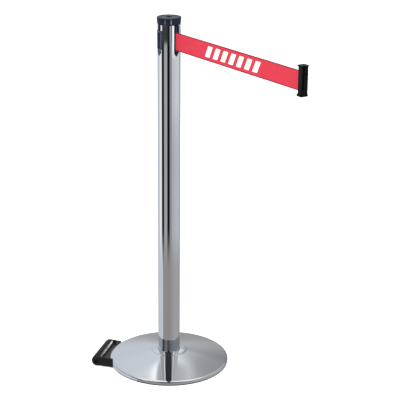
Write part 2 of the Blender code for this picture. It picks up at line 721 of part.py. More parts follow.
def make_clip():
    body_low = CLIP_LOW + FLANGE
    body_top = CLIP_TOP - FLANGE
    wide = CLIP_HALF + 0.7
    hook_tip = CLIP_OUTER + HOOK_REACH
    ridge_tip = CLIP_OUTER + RIDGE_REACH
    body = (CLIP_INNER, -CLIP_HALF, body_low - 1), (CLIP_OUTER, CLIP_HALF, body_top + 1)
    top_plate = (CLIP_INNER - 3.0, -wide, body_top), (CLIP_OUTER + 0.8, wide, CLIP_TOP)
    hook_bar = (CLIP_OUTER - 1, -RIDGE_HALF, body_top), (hook_tip, RIDGE_HALF, CLIP_TOP)
    hook_tooth = (hook_tip - 2.2, -RIDGE_HALF, body_top - 11), (hook_tip, RIDGE_HALF, body_top + 1)
    long_ridge = (CLIP_OUTER - 1, -RIDGE_HALF, 935.0), (ridge_tip, RIDGE_HALF, 974.0)
    pocket = (CLIP_INNER + 2.4, -4.2, 925.0), (CLIP_INNER + 11.0, 4.2, 986.0)
    entry = (CLIP_INNER - 15.0, -1.1, 926.8), (CLIP_INNER + 3.4, 1.1, 981.0)
    screw_x = CLIP_OUTER - 1.7
    for name, low, high in (("clip_left", -20, -0.15), ("clip_right", 0.15, 20)):
        half = block(name, *body, BLACK)
        top = block(f"{name}_top", *top_plate)
        hook = block(f"{name}_hook", *hook_bar)
        tooth = block(f"{name}_tooth", *hook_tooth)
        ridge = block(f"{name}_ridge", *long_ridge)
        foot = [
            (CLIP_OUTER + 0.8, wide),
            (CLIP_INNER - 3.0, wide),
            (CLIP_INNER - TONGUE_REACH, wide / 2),
            (CLIP_INNER - TONGUE_REACH, -wide / 2),
            (CLIP_INNER - 3.0, -wide),
            (CLIP_OUTER + 0.8, -wide),
        ]
        join(half, top, hook, tooth, ridge, slab(f"{name}_foot", foot, CLIP_LOW, body_low))
        cut(half, block(f"{name}_pocket", *pocket), block(f"{name}_entry", *entry))
        for number, height in enumerate((929.5, 984.0)):
            place = shift(screw_x, 0, height) @ FLIP_DOWN
            cut(half, rod(f"{name}_screw_way_{number}", 1.1, -7.0, 20, sides=12, place=place))
            cut(half, rod(f"{name}_screw_seat_{number}", 2.1, CLIP_HALF - 1.6, 20, sides=16, place=place))
        keep_common(half, block(f"{name}_side", (500, low, 900), (600, high, 1010)))
    rod("clip_pin", PIN_RADIUS, pocket[0][2] + GAP, pocket[1][2] - GAP, STEEL, 20, shift(PIN_X))
    for name, height in (("clip_screw_lower", 929.5), ("clip_screw_upper", 984.0)):
        place = shift(screw_x, 0, height) @ FLIP_DOWN
        screw = rod(name, 0.8, -6.6, CLIP_HALF - 1.0, STEEL, 12, place)
        join(screw, rod(f"{name}_head", 1.8, CLIP_HALF - 1.3, CLIP_HALF - 0.2, sides=16, place=place))


clear_scene()
PARTS = new_collection("retractable_belt_stanchion")
TOOLS = new_collection("cutters")
CHROME = new_material("chrome", (0.62, 0.64, 0.66), 0.12, 1.0)
STEEL = new_material("steel", (0.55, 0.56, 0.58), 0.35, 1.0)
CAST_IRON = new_material("cast_iron", (0.11, 0.11, 0.12), 0.8, 0.6)
BRASS = new_material("brass", (0.72, 0.55, 0.26), 0.35, 1.0)
RUBBER = new_material("rubber", (0.025, 0.025, 0.027), 0.7)
BLACK = new_material("black_plastic", (0.03, 0.032, 0.038), 0.42)
GREY = new_material("grey_plastic", (0.13, 0.14, 0.16), 0.4)
NYLON = new_material("nylon", (0.5, 0.5, 0.48), 0.5)
WEBBING = new_material("webbing", (0.78, 0.05, 0.09), 0.75)

make_base()
make_roller()
make_post()
for receiver_name, receiver_azimuth in RECEIVER_AZIMUTHS.items():
    make_receiver(receiver_name, receiver_azimuth)
make_outlet()
make_cassette()
make_reel()
make_cap()
make_belt()
make_clip()
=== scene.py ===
"""The looks of the retractable belt stanchion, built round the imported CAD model.

The frame is the CAD's own: +Z up, +X the way the belt pulls out, origin on the floor at the post's axis.
Shapes are worked out in millimetres, as in the CAD, and MM turns them into Blender's metres.
"""

import json
import math

import bmesh
import bpy
import numpy as np
from mathutils import Matrix, Vector


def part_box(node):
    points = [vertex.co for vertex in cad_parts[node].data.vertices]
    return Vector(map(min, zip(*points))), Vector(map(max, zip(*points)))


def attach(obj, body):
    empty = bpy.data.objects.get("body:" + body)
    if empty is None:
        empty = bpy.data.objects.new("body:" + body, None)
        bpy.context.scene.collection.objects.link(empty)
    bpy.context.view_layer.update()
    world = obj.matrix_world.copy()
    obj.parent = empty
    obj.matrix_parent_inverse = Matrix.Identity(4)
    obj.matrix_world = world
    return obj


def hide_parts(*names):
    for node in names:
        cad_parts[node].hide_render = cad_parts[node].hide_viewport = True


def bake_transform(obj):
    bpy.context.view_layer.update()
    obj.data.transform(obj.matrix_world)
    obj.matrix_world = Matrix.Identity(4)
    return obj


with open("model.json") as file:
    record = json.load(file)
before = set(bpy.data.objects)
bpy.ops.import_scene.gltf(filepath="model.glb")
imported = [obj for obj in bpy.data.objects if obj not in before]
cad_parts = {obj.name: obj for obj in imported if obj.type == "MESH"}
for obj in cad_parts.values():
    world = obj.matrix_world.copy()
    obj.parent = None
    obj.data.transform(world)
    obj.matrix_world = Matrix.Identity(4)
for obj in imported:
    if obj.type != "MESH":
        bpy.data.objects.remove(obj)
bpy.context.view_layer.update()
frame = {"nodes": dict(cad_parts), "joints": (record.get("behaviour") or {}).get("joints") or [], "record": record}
NODES = frame["nodes"]

MM = 0.001


def extent(node):
    """A CAD node's lowest and highest corner, in millimetres."""
    low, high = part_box(node)
    return low / MM, high / MM


# Sizes read from the frame
POST_LOW, POST_HIGH = extent("post_tube")
POST_RADIUS = POST_HIGH.x
COVER_HIGH = extent("base_cover")[1]
BASE_RADIUS = COVER_HIGH.x
PAD_HIGH = extent("floor_pad")[1]
CAP_LOW, CAP_HIGH = extent("head_cap")
CAP_RADIUS = CAP_HIGH.x
DISC_LOW, DISC_HIGH = extent("cap_disc")
BELT_LOW, BELT_HIGH = extent("belt_webbing")
COIL_LOW, COIL_HIGH = extent("belt_coil")
GUIDE_LOW, GUIDE_HIGH = extent("guide_roller")
CLIP_PIN_LOW, CLIP_PIN_HIGH = extent("clip_pin")
ROLLER_JOINT = next(joint for joint in frame["joints"] if joint["name"] == "roller_spin")

# Sizes that the boxes don't show, as the CAD has them. Each of the post's slots is given as its azimuth and
# its distance off centre. The first is the belt outlet's.
POST_WALL = 1.5
SLOTS = ((0, 2.8), (90, 0), (180, 0), (270, 0))
SLOT_HALF = 6.4
SLOT_SHOULDER = 921.0
SLOT_TIP = 913.0
LINER_BACK = 24.8
PAD_THICK = 3.2
HUB_RADIUS = 51.0
HUB_RISE = 1.4
SLOPE_TOP = 35.3
SLOPE_BULGE = 1.0
RIM_TOP = 12.4
RIM_ROUND = 3.0
COVER_SHEET = 1.2
ROLLER_AZIMUTH = 220.0
ROLLER_RADIUS = 15.2
ROLLER_HALF = 57.0
BRACKET_FACE = 174.0
BRACKET_SCREW_OFFSETS = (-37.0, 58.0)
BRACKET_SCREW_HEIGHT = 7.2
CAP_WELL = 1010.6
BELT_THICK = 0.6
COIL_WIDE = 14.0
GAP = 0.3

# The camera, fitted to the photo: azimuth round the post and downward tilt in degrees, distance and height in
# metres, lens and sensor in millimetres, and sideways shift as a share of the picture
CAMERA_AZIMUTH = -33.4
CAMERA_TILT = 18.87
CAMERA_DISTANCE = 3.499
CAMERA_HEIGHT = 1.691
CAMERA_LENS = 118.2
CAMERA_SENSOR = 36.0
CAMERA_SHIFT = 0.0775
CAMERA_FAR = 100.0


def srgb(r, g, b):
    """A colour given as screen values from 0 to 255, in linear light."""
    return tuple((c / 255 / 12.92) if c <= 10 else ((c / 255 + 0.055) / 1.055) ** 2.4 for c in (r, g, b))


# Node tree helpers ----------------------------------------------------------------------------------------

# The colour sockets of Blender's Mix node, by number, as other sockets have the same names
MIX_FIRST = 6
MIX_SECOND = 7
MIX_RESULT = 2


class Tree:
    """A short way to write a node tree."""

    def __init__(self, owner):
        owner.use_nodes = True
        self.tree = owner.node_tree
        self.tree.nodes.clear()

    def put(self, socket, value):
        """Links another node's output to a socket, or sets the socket to a constant."""
        if isinstance(value, bpy.types.NodeSocket):
            self.tree.links.new(value, socket)
        else:
            socket.default_value = value

    def add(self, kind, values=None, **settings):
        node = self.tree.nodes.new(kind)
        for key, value in settings.items():
            setattr(node, key, value)
        for key, value in (values or {}).items():
            self.put(node.inputs[key], value)
        return node

    def math(self, operation, a, b=0.0, c=None):
        values = {0: a, 1: b} if c is None else {0: a, 1: b, 2: c}
        return self.add("ShaderNodeMath", values, operation=operation).outputs[0]

    def mix(self, share, a, b):
        node = self.add("ShaderNodeMix", data_type="RGBA")
        self.put(node.inputs["Factor"], share)
        for socket, colour in ((MIX_FIRST, a), (MIX_SECOND, b)):
            linked = isinstance(colour, bpy.types.NodeSocket)
            self.put(node.inputs[socket], colour if linked else (*colour, 1.0))
        return node.outputs[MIX_RESULT]

    def span(self, value, low, high, to_low=0.0, to_high=1.0, kind="LINEAR"):
        """Maps one range of values to another, and holds the ends past it."""
        values = {"Value": value, "From Min": low, "From Max": high, "To Min": to_low, "To Max": to_high}
        return self.add("ShaderNodeMapRange", values, interpolation_type=kind).outputs["Result"]

    def ramp(self, value, stops):
        """A colour by value, between stops of (value, colour)."""
        node = self.add("ShaderNodeValToRGB", {"Fac": value})
        elements = node.color_ramp.elements
        while len(elements) > 1:
            elements.remove(elements[-1])
        elements[0].position = stops[0][0]
        elements[0].color = (*stops[0][1], 1.0)
        for position, colour in stops[1:]:
            elements.new(position).color = (*colour, 1.0)
        return node.outputs["Color"]

    def place(self, stretch=(1.0, 1.0, 1.0)):
        """Where a point is on the object, with each axis stretched."""
        here = self.add("ShaderNodeTexCoord").outputs["Object"]
        return self.add("ShaderNodeMapping", {"Vector": here, "Scale": stretch}).outputs[0]

    def noise(self, where, scale, detail, rough=0.5):
        values = {"Vector": where, "Scale": scale, "Detail": detail, "Roughness": rough}
        return self.add("ShaderNodeTexNoise", values).outputs[0]

    def bump(self, height, distance, strength):
        values = {"Height": height, "Distance": distance, "Strength": strength}
        return self.add("ShaderNodeBump", values).outputs[0]

    def shade(self, values):
        shader = self.add("ShaderNodeBsdfPrincipled", values)
        self.add("ShaderNodeOutputMaterial", {"Surface": shader.outputs[0]})


def new_material(name):
    made = bpy.data.materials.new(name)
    return made, Tree(made)


# The studio -----------------------------------------------------------------------------------------------

# The share of light that the chrome gives back, the even light that falls on all but mirrors, the white
# behind the object, and the paper on the floor: how much it glows and how far it reaches, in metres
CHROME_TINT = 0.86
OPEN_LIGHT = 0.98
PAPER_WHITE = srgb(254, 254, 254)
PAPER_GLOW = 0.35
PAPER_REACH = 30.0

# What the lamps point at, in metres
OBJECT_MIDDLE = (0.1, 0, 0.5)
CAP_TOP = (0, 0, 1.0)

# What polished metal shows of the studio, as stops of bearing, grey and coolness. Bearings are in degrees, 0
# towards the camera's side and positive to its right. A grey is a screen value, and coolness is how much more
# blue than red it holds. Each list belongs to one band of heights. They are set so that the post and the base
# show the photo's stripes.
STUDIO_FOOT = [
    (-180, 158, 12), (-134, 195, 12), (-113, 190, 11), (-82, 196, 10), (-68, 197, 8), (-62, 136, 4),
    (-53, 136, 4), (-30, 138, -6), (0, 133, -9), (22, 143, -3), (36, 145, 1), (60, 155, 4),
    (110, 156, 4), (135, 147, 3), (180, 158, 12),
]
STUDIO_SHAFT = [
    (-180, 149, 2), (-176, 160, 7), (-172, 178, 11), (-155, 188, 12), (-130, 182, 12),
    (-112, 206, 11), (-98, 229, 8), (-85, 225, 7), (-78, 217, 6), (-75.5, 17, 5), (-53, 15, 5),
    (-49, 154, 6), (-24, 161, 5), (-19, 151, 5), (-15, 16, 5), (4, 13, 6), (9, 123, 10),
    (16, 142, 10), (29, 147, 10), (32, 170, 10), (60, 176, 10), (84, 183, 10), (112, 182, 9),
    (128, 169, 8), (150, 150, 6), (172, 151, 4), (180, 149, 2),
]
STUDIO_HEAD = [
    (-180, 176, 12), (-98, 233, 8), (-75, 232, 6), (-71, 60, 2), (-58, 56, 0), (-46, 60, 2),
    (-13, 46, 4), (-3, 15, 6), (4, 17, 6), (9, 148, 10), (20, 148, 10), (23, 106, 10),
    (30, 110, 10), (34, 250, 2), (66, 250, 2), (80, 192, 8), (130, 164, 10), (180, 176, 12),
]
STUDIO_UPPER = [(turn, grey + 18 * (30 < turn < 120), cool) for turn, grey, cool in STUDIO_SHAFT]
STUDIO_NECK = sorted(
    [stop for stop in STUDIO_UPPER if not 31 < stop[0] < 85]
    + [(34, 242, 6), (66, 242, 6), (80, 194, 8)]
)
STUDIO_LOW = [
    (-180, 149, 2), (-176, 160, 7), (-172, 178, 11), (-160, 166, 12), (-130, 152, 12),
    (-74, 152, 10), (-70, 62, 8), (-52, 60, 8), (-46, 100, 8), (-24, 114, 9), (-14, 78, 8),
    (3, 72, 8), (10, 102, 9), (60, 123, 12), (130, 124, 6), (172, 151, 4), (180, 149, 2),
]
STUDIO_WALL = [
    (-180, 193, 13), (-166, 197, 13), (-130, 188, 12), (-76, 153, 10), (-70, 35, 6), (-54, 35, 6),
    (-48, 106, 8), (-24, 136, 9), (-16, 71, 7), (-12, 21, 6), (3, 23, 6), (9, 114, 9), (60, 126, 9),
    (120, 140, 6), (150, 124, 6), (165, 131, 6), (168, 149, 7), (171, 164, 7), (175, 178, 8),
    (180, 193, 13),
]
STUDIO_HIGH = [
    (-180, 203, 12), (-166, 201, 13), (-130, 162, 12), (-66, 160, 10), (-60, 200, 9), (-49, 209, 8),
    (-44, 54, 6), (29, 53, 7), (34, 151, 10), (50, 159, 10), (54, 225, 8), (62, 225, 8),
    (67, 160, 8), (76, 160, 8), (86, 181, 9), (150, 181, 9), (160, 136, 7), (167, 153, 8),
    (169, 179, 9), (172, 208, 10), (175, 230, 9), (180, 203, 12),
]
STUDIO_CEILING = [
    (-180, 153, 10), (-174.4, 155, 10), (-174.2, 250, 5), (-172, 243, 7), (-170, 212, 12),
    (-160, 201, 13), (-130, 158, 12), (-72, 156, 10), (-67, 220, 9), (-56, 235, 8), (-52, 50, 6),
    (34, 51, 7), (39, 153, 10), (50, 159, 10), (54, 213, 8), (62, 213, 8), (67, 148, 8),
    (76, 152, 8), (86, 181, 9), (150, 181, 9), (160, 142, 7), (167, 162, 7), (170, 189, 8),
    (173, 179, 9), (180, 153, 10),
]
STUDIO_ZENITH = [
    (-180, 235, 6), (-60, 243, 6), (-44, 50, 6), (29, 51, 7), (50, 235, 6), (164, 235, 6),
    (172, 209, 8), (180, 235, 6),
]
# Where each list takes over from the one before it, as heights above the horizon in degrees
STUDIO_BANDS = [
    (-22.0, -20.0, STUDIO_SHAFT),
    (-17.0, -14.0, STUDIO_UPPER),
    (-12.8, -12.4, STUDIO_NECK),
    (-12.2, -11.95, STUDIO_HEAD),
    (-11.2, -11.0, STUDIO_SHAFT),
    (-9.0, -3.0, STUDIO_LOW),
    (4.0, 16.0, STUDIO_WALL),
    (24.0, 32.0, STUDIO_HIGH),
    (41.5, 47.5, STUDIO_CEILING),
    (53.0, 60.0, STUDIO_ZENITH),
]


def studio_ramp(tree, bearing, stops):
    """The studio's light by bearing, brightened by what the chrome takes away."""
    lit = []
    for degrees, grey, cool in stops:
        colour = srgb(grey - cool / 2, grey, grey + cool / 2)
        lit.append(((degrees + 180) / 360, tuple(c / CHROME_TINT for c in colour)))
    return tree.ramp(bearing, lit)


def make_world():
    """Mirrors see the studio's bands, the camera sees white paper, and all else gets even light."""
    world = bpy.data.worlds.new("studio")
    bpy.context.scene.world = world
    world.cycles.sampling_method = "NONE"
    tree = Tree(world)
    direction = tree.add("ShaderNodeTexCoord").outputs["Generated"]
    facing = math.radians(90 - (CAMERA_AZIMUTH + 180))
    values = {"Vector": direction, "Angle": facing}
    turned = tree.add("ShaderNodeVectorRotate", values, rotation_type="Z_AXIS").outputs[0]
    right, ahead, up = tree.add("ShaderNodeSeparateXYZ", {0: turned}).outputs
    turn = tree.math("ARCTAN2", right, tree.math("MULTIPLY", ahead, -1.0))
    bearing = tree.math("MULTIPLY_ADD", turn, 0.5 / math.pi, 0.5)
    studio = studio_ramp(tree, bearing, STUDIO_FOOT)
    for low, high, stops in STUDIO_BANDS:
        share = tree.span(up, math.sin(math.radians(low)), math.sin(math.radians(high)), kind="SMOOTHSTEP")
        studio = tree.mix(share, studio, studio_ramp(tree, bearing, stops))
    ray = tree.add("ShaderNodeLightPath").outputs
    seen = tree.mix(ray["Is Glossy Ray"], (OPEN_LIGHT,) * 3, studio)
    colour = tree.mix(ray["Is Camera Ray"], seen, PAPER_WHITE)
    background = tree.add("ShaderNodeBackground", {"Color": colour, "Strength": 1.0})
    tree.add("ShaderNodeOutputWorld", {"Surface": background.outputs[0]})


def around_post(bearing, distance, height):
    """A place round the post, in metres: the bearing is from the camera's side, positive to its right."""
    angle = math.radians(CAMERA_AZIMUTH + bearing)
    return Vector((distance * math.cos(angle), distance * math.sin(angle), height))


def add_light(name, place, size, power, target=OBJECT_MIDDLE, in_mirror=False, colour=(1, 1, 1)):
    """An area lamp that the camera doesn't see. Its size is in metres, and its power in watts."""
    lamp = bpy.data.lights.new(name, "AREA")
    lamp.shape = "RECTANGLE"
    lamp.size, lamp.size_y = size
    lamp.energy = power
    lamp.color = colour
    obj = bpy.data.objects.new(name, lamp)
    bpy.context.scene.collection.objects.link(obj)
    obj.location = place
    obj.rotation_euler = (Vector(target) - obj.location).to_track_quat("-Z", "Y").to_euler()
    obj.visible_glossy = in_mirror
    obj.visible_camera = False
    return obj


def make_floor():
    """White paper whose faint glow thins out shadows. The chrome mirrors the studio's bands in its place."""
    mesh = bpy.data.meshes.new("floor")
    shape = bmesh.new()
    bmesh.ops.create_grid(shape, x_segments=1, y_segments=1, size=PAPER_REACH)
    shape.to_mesh(mesh)
    shape.free()
    floor = bpy.data.objects.new("floor", mesh)
    bpy.context.scene.collection.objects.link(floor)
    floor.visible_glossy = False
    paper, tree = new_material("paper")
    glow = {"Emission Color": (1.0, 1.0, 1.0, 1.0), "Emission Strength": PAPER_GLOW}
    tree.shade({"Base Color": (0.9, 0.9, 0.9, 1.0), "Roughness": 1.0, "Specular IOR Level": 0.0, **glow})
    mesh.materials.append(paper)


def light_only(lamp, *pieces):
    """Keeps a lamp's light to some pieces."""
    lit = bpy.data.collections.new(f"{lamp.name}_lit")
    for piece in pieces:
        lit.objects.link(piece)
    lamp.light_linking.receiver_collection = lit


def make_studio():
    """Three soft lamps and the floor, inside the world's bands. No mirror shows these lamps."""
    make_world()
    add_light("key", around_post(bearing=-45, distance=3.2, height=3.0), size=(2.6, 2.6), power=60)
    add_light("fill", around_post(bearing=60, distance=3.6, height=2.2), size=(2.6, 2.6), power=30)
    add_light("top", Vector((0.1, 0.0, 3.6)), size=(3.2, 3.2), power=60)
    make_floor()


def make_camera():
    """The photo's camera."""
    data = bpy.data.cameras.new("camera")
    data.sensor_width = CAMERA_SENSOR
    data.lens = CAMERA_LENS
    data.shift_x = CAMERA_SHIFT
    data.clip_end = CAMERA_FAR
    camera = bpy.data.objects.new("camera", data)
    bpy.context.scene.collection.objects.link(camera)
    camera.location = around_post(0, CAMERA_DISTANCE, CAMERA_HEIGHT)
    camera.rotation_euler = (math.radians(90 - CAMERA_TILT), 0, math.radians(CAMERA_AZIMUTH + 90))
    bpy.context.scene.camera = camera


# Materials ------------------------------------------------------------------------------------------------


def chrome_material():
    """Polished plate with the faint smears, dust and hair scratches that a wiped mirror keeps."""
    made, tree = new_material("polished_chrome")
    here = tree.place()
    smears = tree.noise(here, 11.0, 4.0)
    dust = tree.noise(here, 900.0, 2.0)
    scratches = tree.noise(tree.place((1.0, 1.0, 0.03)), 2600.0, 2.0, 0.7)
    tint = tree.mix(tree.span(smears, 0.35, 0.65), (0.845, 0.85, 0.86), (0.872, 0.872, 0.876))
    dusty = tree.mix(tree.span(dust, 0.74, 0.82, 0.0, 0.35), tint, (0.6, 0.6, 0.6))
    smeared = tree.span(smears, 0.35, 0.75, 0.018, 0.034)
    rough = tree.math("ADD", smeared, tree.span(dust, 0.7, 0.85, 0.0, 0.06))
    values = {"Base Color": dusty, "Roughness": rough, "Metallic": 1.0}
    values["Normal"] = tree.bump(scratches, 0.000002, 0.25)
    tree.shade(values)
    return made


def plastic_material(name, colour, roughness, grain=1400.0, depth=0.00003, specular=0.5, bend=1.5):
    """Moulded plastic: a fine spark-eroded grain with painted shade in its pits, slow changes in gloss, and a
    slightly uneven colour.
    """
    made, tree = new_material(name)
    here = tree.place()
    fine = tree.noise(here, grain, 2.0, 0.6)
    broad = tree.noise(here, 26.0, 4.0)
    flow = tree.noise(tree.place((1.0, 1.0, 0.2)), 90.0, 3.0)
    blotch = tree.mix(tree.span(broad, 0.3, 0.7), colour, tuple(c * 1.4 for c in colour))
    # Painted shade: the colour darkens where the grain's bump dips, standing in for shade in its pits
    painted_pit_shade = tree.mix(tree.span(fine, 0.2, 0.5), tuple(c * 0.6 for c in colour), blotch)
    uneven = tree.span(broad, 0.3, 0.7, roughness - 0.04, roughness + 0.04)
    rough = tree.math("ADD", uneven, tree.span(flow, 0.3, 0.7, -0.02, 0.03))
    values = {"Base Color": painted_pit_shade, "Roughness": rough, "Specular IOR Level": specular, "IOR": bend}
    values["Normal"] = tree.bump(fine, depth, 0.8)
    tree.shade(values)
    return made


def metal_material(name, dark, light, roughness, grain=700.0, stretch=(1.0, 1.0, 0.12)):
    """Plain worked metal: drawn or turned lines, a cloudy plating, and dull spots."""
    made, tree = new_material(name)
    here = tree.place()
    lines = tree.noise(tree.place(stretch), grain, 3.0, 0.6)
    clouds = tree.noise(here, 60.0, 4.0)
    spots = tree.noise(here, 380.0, 2.0)
    plating = tree.mix(tree.span(clouds, 0.3, 0.7), dark, light)
    spotted = tree.mix(tree.span(spots, 0.62, 0.75, 0.0, 0.5), plating, tuple(c * 0.6 for c in dark))
    uneven = tree.span(lines, 0.3, 0.7, roughness - 0.06, roughness + 0.08)
    rough = tree.math("ADD", uneven, tree.span(spots, 0.6, 0.8, 0.0, 0.15))
    values = {"Base Color": spotted, "Roughness": rough, "Metallic": 1.0}
    values["Normal"] = tree.bump(lines, 0.00001, 0.6)
    tree.shade(values)
    return made


def casting_material():
    """Sand-cast iron under a thin coat of black paint, with rust where its high grains show through."""
    made, tree = new_material("painted_casting")
    here = tree.place()
    sand = tree.noise(here, 420.0, 4.0, 0.65)
    lumps = tree.noise(here, 45.0, 3.0)
    paint = tree.mix(tree.span(lumps, 0.3, 0.7), (0.02, 0.021, 0.023), (0.045, 0.044, 0.043))
    rust = tree.mix(tree.span(sand, 0.66, 0.74, 0.0, 0.7), paint, (0.10, 0.05, 0.028))
    height = tree.math("ADD", sand, tree.math("MULTIPLY", lumps, 2.0))
    rough = tree.span(sand, 0.3, 0.7, 0.62, 0.85)
    tree.shade({"Base Color": rust, "Roughness": rough, "Normal": tree.bump(height, 0.0003, 0.8)})
    return made


def rubber_material(name, colour, roughness, depth=0.00005, specular=0.5):
    """Moulded rubber with a fine matt skin, a little pale bloom and a few specks of dust."""
    made, tree = new_material(name)
    here = tree.place()
    skin = tree.noise(here, 1500.0, 3.0, 0.6)
    bloom = tree.noise(here, 38.0, 5.0, 0.6)
    shade = tree.mix(tree.span(bloom, 0.42, 0.72, 0.0, 0.55), colour, tuple(c * 2.4 for c in colour))
    specks = tree.mix(tree.span(skin, 0.7, 0.78, 0.0, 0.4), shade, (0.10, 0.095, 0.09))
    rough = tree.span(bloom, 0.35, 0.7, roughness - 0.04, roughness + 0.08)
    values = {"Base Color": specks, "Roughness": rough, "Specular IOR Level": specular}
    values["Normal"] = tree.bump(skin, depth, 0.7)
    tree.shade(values)
    return made


# The webbing's weave, selvedges and printed bars, in metres. A bar leans by its slant for each metre up, and
# fills its share of the pitch.
WEAVE_PITCH = 0.0011
RIB_PITCH = 0.0009
SELVEDGE = 0.0027
PRINT_MIDDLE = 0.29
PRINT_REPEAT = 0.62
PRINT_HALF = 0.118
PRINT_RISE = 0.0145
PRINT_SOFTNESS = 0.0004
BAR_PITCH = 0.034
BAR_SLANT = 0.5
BAR_SHARE = 0.56

# The webbing's colours
DYE_DARK = (0.58, 0.0255, 0.049)
DYE_LIGHT = (0.63, 0.031, 0.058)
THREAD_SHADOW = (0.42, 0.016, 0.034)
FUZZ_PINK = (0.74, 0.20, 0.23)
SELVEDGE_RED = (0.17, 0.003, 0.012)
SHEEN_PINK = (1.0, 0.55, 0.58, 1.0)
INK_WHITE = (0.93, 0.91, 0.90)


def wave(tree, value, pitch):
    """0 to 1 and back along a length, once each pitch."""
    turns = tree.math("MULTIPLY", value, 2 * math.pi / pitch)
    return tree.math("MULTIPLY_ADD", tree.math("SINE", turns), 0.5, 0.5)


def webbing_material(name, printed):
    """Red polyester webbing: warp and weft, darker selvedges and, on the open stretch, printed white bars."""
    made, tree = new_material(name)
    x, y, z = tree.add("ShaderNodeSeparateXYZ", {0: tree.place()}).outputs
    middle = (BELT_LOW.z + BELT_HIGH.z) / 2 * MM
    half = (BELT_HIGH.z - BELT_LOW.z) / 2 * MM
    up = tree.math("SUBTRACT", z, middle)
    from_middle = tree.math("ABSOLUTE", up)
    # A plain weave: rows of weft that step by half a pitch from one warp end to the next
    row = tree.math("FLOOR", tree.math("DIVIDE", up, RIB_PITCH))
    stepped = tree.math("MULTIPLY_ADD", row, WEAVE_PITCH / 2, x if printed else tree.math("ADD", x, y))
    weft = wave(tree, stepped, WEAVE_PITCH)
    warp = wave(tree, up, RIB_PITCH)
    thread = tree.math("MULTIPLY", weft, tree.math("MULTIPLY_ADD", warp, 0.6, 0.4))
    fuzz = tree.noise(tree.place(), 2200.0, 2.0, 0.7)
    uneven = tree.noise(tree.place((0.35, 1.0, 1.0)), 55.0, 4.0)
    dye = tree.mix(tree.span(uneven, 0.3, 0.7), DYE_DARK, DYE_LIGHT)
    red = tree.mix(tree.span(thread, 0.0, 0.55), THREAD_SHADOW, dye)
    red = tree.mix(tree.span(fuzz, 0.66, 0.8, 0.0, 0.35), red, FUZZ_PINK)
    edge = tree.span(from_middle, half - SELVEDGE, half - SELVEDGE * 0.8)
    colour = tree.mix(edge, red, SELVEDGE_RED)
    if printed:
        colour = tree.mix(bars(tree, x, up, from_middle, thread), colour, INK_WHITE)
    height = tree.math("MULTIPLY_ADD", fuzz, 0.25, thread)
    values = {"Base Color": colour, "Roughness": tree.span(thread, 0.0, 1.0, 0.86, 0.66)}
    values["Normal"] = tree.bump(height, 0.00012, 0.7)
    values["Specular IOR Level"] = 0.3
    values["Sheen Weight"] = 0.12
    values["Sheen Roughness"] = 0.4
    values["Sheen Tint"] = SHEEN_PINK
    tree.shade(values)
    return made


def bars(tree, x, up, from_middle, thread):
    """How much ink there is: groups of slanted bars, thinner where the threads dip."""
    along = tree.math("WRAP", tree.math("SUBTRACT", x, PRINT_MIDDLE), PRINT_REPEAT / 2, -PRINT_REPEAT / 2)
    slanted = tree.math("MULTIPLY_ADD", up, -BAR_SLANT, along)
    phase = tree.math("WRAP", slanted, BAR_PITCH / 2, -BAR_PITCH / 2)
    group = within(tree, tree.math("ABSOLUTE", slanted), PRINT_HALF)
    bar = within(tree, tree.math("ABSOLUTE", phase), BAR_PITCH * BAR_SHARE / 2)
    ink = tree.math("MULTIPLY", tree.math("MULTIPLY", group, bar), within(tree, from_middle, PRINT_RISE))
    return tree.math("MULTIPLY", ink, tree.span(thread, 0.0, 0.3, 0.82, 1.0))


def within(tree, value, limit):
    """1 up to a limit and 0 past it, with the softness of a printed edge."""
    return tree.span(value, limit, limit + PRINT_SOFTNESS, 1.0, 0.0)


# Shapes ---------------------------------------------------------------------------------------------------


def shift(x=0.0, y=0.0, z=0.0):
    """A move in millimetres."""
    return Matrix.Translation((x * MM, y * MM, z * MM))


def turn_about_z(degrees):
    return Matrix.Rotation(math.radians(degrees), 4, "Z")


def arc(centre, radius, start, end, steps):
    """Points on an arc in the plane, from one angle to another in degrees."""
    angles = [math.radians(start + (end - start) * i / steps) for i in range(steps + 1)]
    return [(centre[0] + radius * math.cos(a), centre[1] + radius * math.sin(a)) for a in angles]


def rounded(corners, closed=True, steps=4):
    """An outline of (x, y, radius) corners, each rounded by an arc of its radius."""
    outline = []
    for i, (x, y, radius) in enumerate(corners):
        if radius == 0 or (not closed and i in (0, len(corners) - 1)):
            outline.append((x, y))
            continue
        here = Vector((x, y))
        before = (Vector(corners[i - 1][:2]) - here).normalized()
        after = (Vector(corners[(i + 1) % len(corners)][:2]) - here).normalized()
        half = before.angle(after) / 2
        centre = here + (before + after).normalized() * (radius / math.sin(half))
        start = here + before * (radius / math.tan(half)) - centre
        end = here + after * (radius / math.tan(half)) - centre
        sweep = start.angle_signed(end)
        for step in range(steps + 1):
            spoke = Matrix.Rotation(-sweep * step / steps, 2) @ start
            outline.append(tuple(centre + spoke))
    return outline


# An edge steeper than this, in degrees, looks sharp
SHARP_BEND = 35.0


def new_piece(name, shape, material, place=Matrix(), sharp=SHARP_BEND):
    """Turns a bmesh into a shaded object."""
    mesh = bpy.data.meshes.new(name)
    shape.transform(place)
    bmesh.ops.recalc_face_normals(shape, faces=shape.faces)
    shape.to_mesh(mesh)
    shape.free()
    mesh.shade_smooth()
    mesh.set_sharp_from_angle(angle=math.radians(sharp))
    mesh.materials.append(material)
    obj = bpy.data.objects.new(name, mesh)
    bpy.context.scene.collection.objects.link(obj)
    return obj


# A turned point nearer to the axis than this, in millimetres, lies on it
ON_AXIS = 0.001


